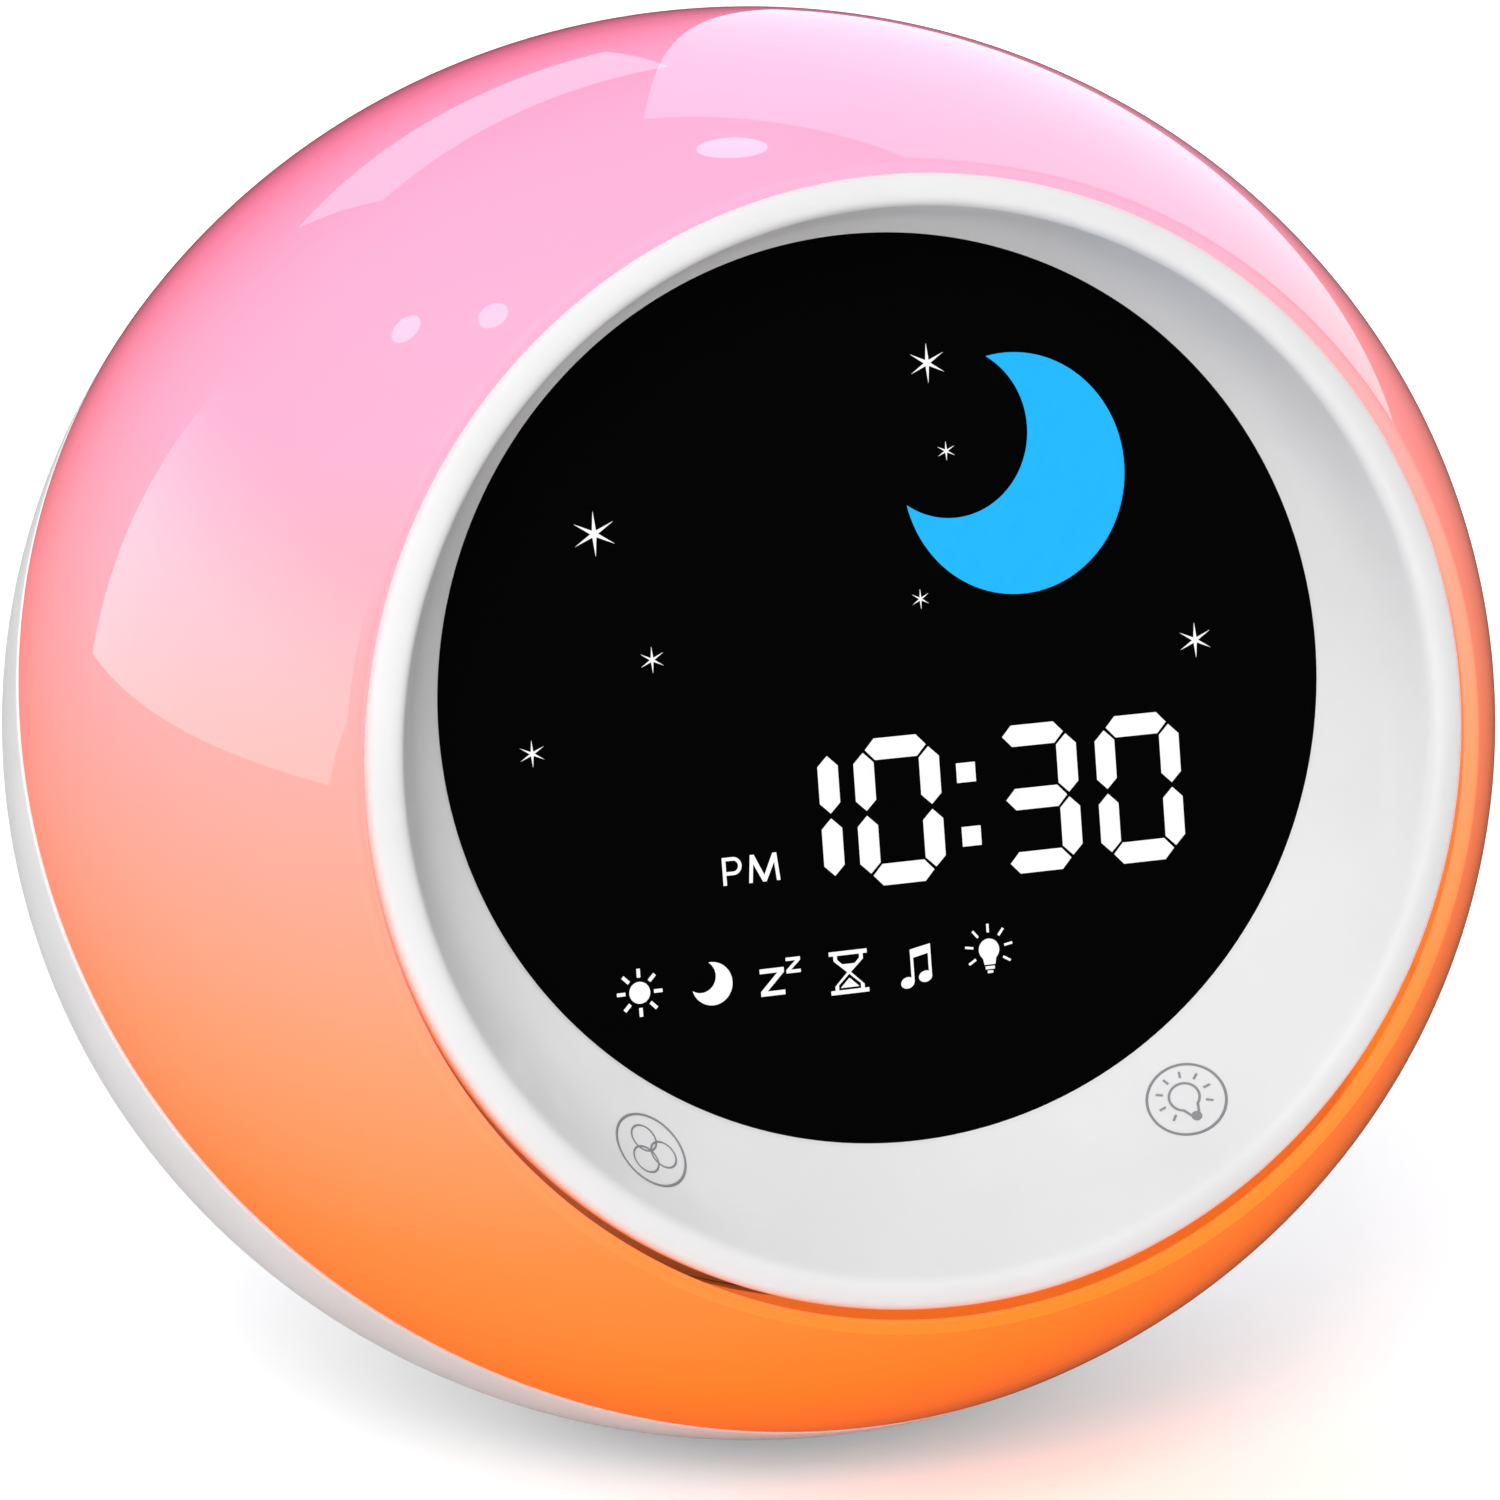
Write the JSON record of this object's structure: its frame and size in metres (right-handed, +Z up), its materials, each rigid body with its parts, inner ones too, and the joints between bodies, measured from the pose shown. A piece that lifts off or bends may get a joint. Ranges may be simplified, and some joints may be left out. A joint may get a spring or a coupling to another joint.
{
  "type": "childrens alarm clock with night light",
  "caption": "Ball-shaped digital alarm clock with a translucent night-light shell, a tilted round display in a dished bezel, rear push buttons and a battery door.",
  "frame": {"origin": "centre of the base pad's underside, on the resting plane", "axes": "+Z up, -Y the way the display faces, +X to the right as seen from the front"},
  "size_m": [0.1358, 0.1062, 0.1278],
  "materials": {
    "shell_tint": "glossy translucent, pink at the top to orange at the bottom",
    "housing_white": "semi-gloss moulded plastic",
    "bezel_white": "satin moulded plastic",
    "display_black": "smoked, glossy",
    "button_white": "semi-gloss",
    "pad_rubber": "matt",
    "inner_white": "matt",
    "board_green": "solder mask",
    "chip_black": "matt",
    "led_warm": "phosphor",
    "steel": "bright",
    "magnet_iron": "plated",
    "cone_black": "paper",
    "cell_jacket": "plain jacket",
    "lead_red": "soft insulation"
  },
  "bodies": {
    "clock": {"light_shell": "shell_tint", "rear_housing": "housing_white", "joining_hoop": "inner_white", "bezel": "bezel_white", "display_lens": "display_black", "display_module": "chip_black", "display_board": "board_green", "touch_springs": "steel", "inner_frame": "inner_white", "main_board": "board_green", "board_parts": "chip_black", "light_board": "board_green", "night_light_leds": "led_warm", "light_diffuser": "inner_white", "speaker_basket": "steel", "speaker_magnet": "magnet_iron", "speaker_cone": "cone_black", "battery_tray": "inner_white", "battery_cells": "cell_jacket", "battery_contacts": "steel", "button_board": "board_green", "tact_switches": "chip_black", "switch_body": "steel", "power_socket": "steel", "socket_tongue": "chip_black", "base_pad": "pad_rubber", "housing_screws": "steel", "bezel_screws": "steel", "speaker_lead": "lead_red", "battery_lead": "lead_red"},
    "time_button": {"time_button": "button_white"},
    "alarm_button": {"alarm_button": "button_white"},
    "plus_button": {"plus_button": "button_white"},
    "minus_button": {"minus_button": "button_white"},
    "volume_button": {"volume_button": "button_white"},
    "switch_knob": {"switch_knob": "chip_black"},
    "battery_door": {"battery_door": "housing_white"}
  },
  "joints": [
    {"name": "time_button_press", "type": "slide", "parent": "clock", "child": "time_button", "axis": [0, -1, 0], "range_m": [0, 0.0008], "stiffness_N_per_m": 600},
    {"name": "alarm_button_press", "type": "slide", "parent": "clock", "child": "alarm_button", "axis": [0, -1, 0], "range_m": [0, 0.0008], "stiffness_N_per_m": 600},
    {"name": "plus_button_press", "type": "slide", "parent": "clock", "child": "plus_button", "axis": [0, -1, 0], "range_m": [0, 0.0008], "stiffness_N_per_m": 600},
    {"name": "minus_button_press", "type": "slide", "parent": "clock", "child": "minus_button", "axis": [0, -1, 0], "range_m": [0, 0.0008], "stiffness_N_per_m": 600},
    {"name": "volume_button_press", "type": "slide", "parent": "clock", "child": "volume_button", "axis": [0, -1, 0], "range_m": [0, 0.0008], "stiffness_N_per_m": 600},
    {"name": "alarm_switch_slide", "type": "slide", "parent": "clock", "child": "switch_knob", "axis": [1, 0, 0], "range_m": [0, 0.003]},
    {"name": "battery_door_hinge", "type": "hinge", "parent": "clock", "child": "battery_door", "pos_m": [0, 0.05, 0.0283], "axis": [-1, 0, 0], "range_deg": [0, 100]}
  ]
}
